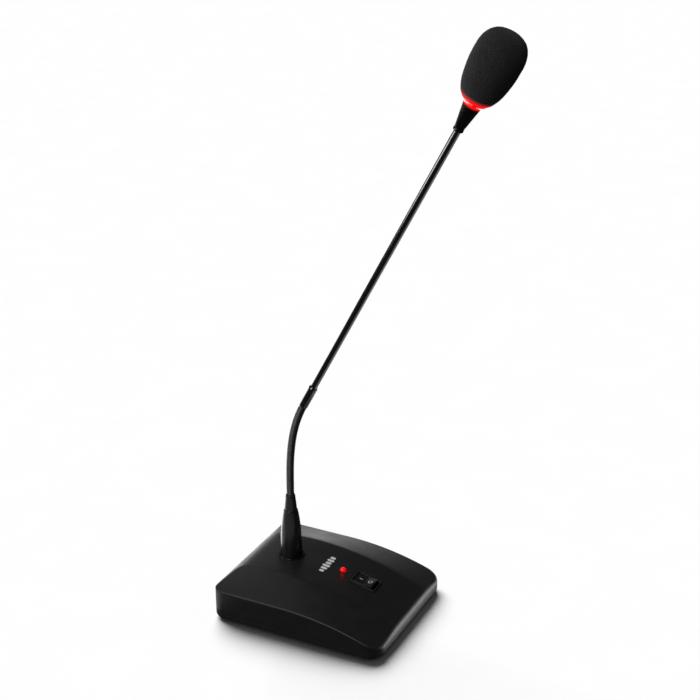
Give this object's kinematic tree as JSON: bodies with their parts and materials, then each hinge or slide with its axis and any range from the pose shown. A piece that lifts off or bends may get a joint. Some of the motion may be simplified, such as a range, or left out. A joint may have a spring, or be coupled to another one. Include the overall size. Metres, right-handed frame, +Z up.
{
  "type": "gooseneck podium microphone",
  "caption": "Desktop gooseneck microphone: wedge base with rocker switch, flexible neck, slim rod, lit ring and foam-covered capsule.",
  "frame": {"origin": "centre of the base's footprint on the table, on the underside of its rubber pad", "axes": "+Z up, -Y towards the talker (the side with the switch and the leaning head), +X to the right seen from the front"},
  "size_m": [0.1174, 0.2156, 0.4551],
  "materials": {
    "cover_abs": "fine textured satin black",
    "tray_abs": "fine textured satin black",
    "pad_rubber": "matt",
    "zinc_steel": "zinc plated",
    "ballast_steel": "bare",
    "board_laminate": "solder resist",
    "chip_epoxy": "moulded",
    "capacitor_sleeve": "shrink sleeve",
    "transformer_core": "laminated",
    "jack_nylon": "moulded",
    "nickel": "nickel plated",
    "cell_jacket": "printed film",
    "switch_nylon": "satin",
    "rocker_nylon": "satin",
    "contact_brass": "plain",
    "lamp_red": "lit red lens",
    "stem_plastic": "satin black",
    "neck_steel": "black plated winding",
    "rod_paint": "gloss black",
    "head_gloss": "gloss black",
    "ring_red": "lit clear red ring",
    "grille_steel": "satin",
    "foam_black": "open cell foam",
    "lead_pvc": "matt"
  },
  "bodies": {
    "base": {"top_cover": "cover_abs", "bottom_tray": "tray_abs", "rubber_pad": "pad_rubber", "case_screws": "zinc_steel", "ballast_plate": "ballast_steel", "ballast_screws": "zinc_steel", "circuit_board": "board_laminate", "board_screws": "zinc_steel", "preamp_chip": "chip_epoxy", "capacitors": "capacitor_sleeve", "output_transformer": "transformer_core", "output_jack": "jack_nylon", "jack_nut": "nickel", "battery_cells": "cell_jacket", "battery_contacts": "nickel", "switch_housing": "switch_nylon", "switch_terminals": "contact_brass", "power_light": "lamp_red", "light_holder": "switch_nylon", "stem_flange": "stem_plastic", "stem_bush": "zinc_steel", "stem_washer": "zinc_steel", "stem_nut": "zinc_steel", "root_cone": "stem_plastic", "root_sleeve": "stem_plastic", "flex_ferrule": "neck_steel", "base_lead": "lead_pvc", "flex_lead": "lead_pvc"},
    "rocker": {"switch_rocker": "rocker_nylon"},
    "door": {"battery_door": "tray_abs"},
    "link_01": {"flex_link_01": "neck_steel"},
    "link_02": {"flex_link_02": "neck_steel"},
    "link_03": {"flex_link_03": "neck_steel"},
    "link_04": {"flex_link_04": "neck_steel"},
    "link_05": {"flex_link_05": "neck_steel"},
    "link_06": {"flex_link_06": "neck_steel"},
    "link_07": {"flex_link_07": "neck_steel"},
    "link_08": {"flex_link_08": "neck_steel"},
    "link_09": {"flex_link_09": "neck_steel"},
    "link_10": {"flex_link_10": "neck_steel"},
    "link_11": {"flex_link_11": "neck_steel"},
    "boom": {"flex_link_12": "neck_steel", "neck_collar": "rod_paint", "rod": "rod_paint", "head_neck": "head_gloss", "ring_board": "board_laminate", "ring_lamps": "lamp_red", "light_ring": "ring_red", "capsule_housing": "grille_steel", "capsule_grille": "grille_steel", "capsule_mount": "pad_rubber", "capsule": "nickel", "rod_lead": "lead_pvc"},
    "foam": {"windscreen": "foam_black"}
  },
  "joints": [
    {"name": "rocker_tilt", "type": "hinge", "parent": "base", "child": "rocker", "pos_m": [0, -0.03124, 0.02512], "axis": [1, 0, 0], "range_deg": [0, 18]},
    {"name": "door_slide", "type": "slide", "parent": "base", "child": "door", "axis": [0, 1, 0], "range_m": [0, 0.058]},
    {"name": "neck_bend_01", "type": "hinge", "parent": "base", "child": "link_01", "pos_m": [0, 0.0322, 0.08925], "axis": [1, 0, 0], "range_deg": [-10, 8], "deforming": ["flex_lead"]},
    {"name": "neck_sway_02", "type": "hinge", "parent": "link_01", "child": "link_02", "pos_m": [0, 0.0322, 0.09565], "axis": [0, 1, 0.0042], "range_deg": [-8, 8]},
    {"name": "neck_bend_03", "type": "hinge", "parent": "link_02", "child": "link_03", "pos_m": [0, 0.03215, 0.10205], "axis": [1, 0, 0], "range_deg": [-10, 8]},
    {"name": "neck_sway_04", "type": "hinge", "parent": "link_03", "child": "link_04", "pos_m": [0, 0.03201, 0.10845], "axis": [0, 0.9995, 0.0313], "range_deg": [-8, 8]},
    {"name": "neck_bend_05", "type": "hinge", "parent": "link_04", "child": "link_05", "pos_m": [0, 0.03175, 0.11484], "axis": [1, 0, 0], "range_deg": [-10, 8]},
    {"name": "neck_sway_06", "type": "hinge", "parent": "link_05", "child": "link_06", "pos_m": [0, 0.03131, 0.12123], "axis": [0, 0.9964, 0.0853], "range_deg": [-8, 8]},
    {"name": "neck_bend_07", "type": "hinge", "parent": "link_06", "child": "link_07", "pos_m": [0, 0.03065, 0.12759], "axis": [1, 0, 0], "range_deg": [-10, 8]},
    {"name": "neck_sway_08", "type": "hinge", "parent": "link_07", "child": "link_08", "pos_m": [0, 0.02974, 0.13393], "axis": [0, 0.9862, 0.1658], "range_deg": [-8, 8]},
    {"name": "neck_bend_09", "type": "hinge", "parent": "link_08", "child": "link_09", "pos_m": [0, 0.02853, 0.14021], "axis": [1, 0, 0], "range_deg": [-10, 8]},
    {"name": "neck_sway_10", "type": "hinge", "parent": "link_09", "child": "link_10", "pos_m": [0, 0.02698, 0.14642], "axis": [0, 0.9625, 0.2713], "range_deg": [-8, 8]},
    {"name": "neck_bend_11", "type": "hinge", "parent": "link_10", "child": "link_11", "pos_m": [0, 0.02506, 0.15253], "axis": [1, 0, 0], "range_deg": [-10, 8]},
    {"name": "neck_sway_12", "type": "hinge", "parent": "link_11", "child": "boom", "pos_m": [0, 0.02273, 0.15849], "axis": [0, 0.909, 0.4168], "range_deg": [-8, 8]},
    {"name": "windscreen_pull", "type": "slide", "parent": "boom", "child": "foam", "axis": [0, -0.4679, 0.8838], "range_m": [0, 0.07]}
  ],
  "couplings": [
    {"joint": "neck_bend_03", "follows": "neck_bend_01", "ratio": 1},
    {"joint": "neck_sway_04", "follows": "neck_sway_02", "ratio": 1},
    {"joint": "neck_bend_05", "follows": "neck_bend_01", "ratio": 1},
    {"joint": "neck_sway_06", "follows": "neck_sway_02", "ratio": 1},
    {"joint": "neck_bend_07", "follows": "neck_bend_01", "ratio": 1},
    {"joint": "neck_sway_08", "follows": "neck_sway_02", "ratio": 1},
    {"joint": "neck_bend_09", "follows": "neck_bend_01", "ratio": 1},
    {"joint": "neck_sway_10", "follows": "neck_sway_02", "ratio": 1},
    {"joint": "neck_bend_11", "follows": "neck_bend_01", "ratio": 1},
    {"joint": "neck_sway_12", "follows": "neck_sway_02", "ratio": 1}
  ]
}
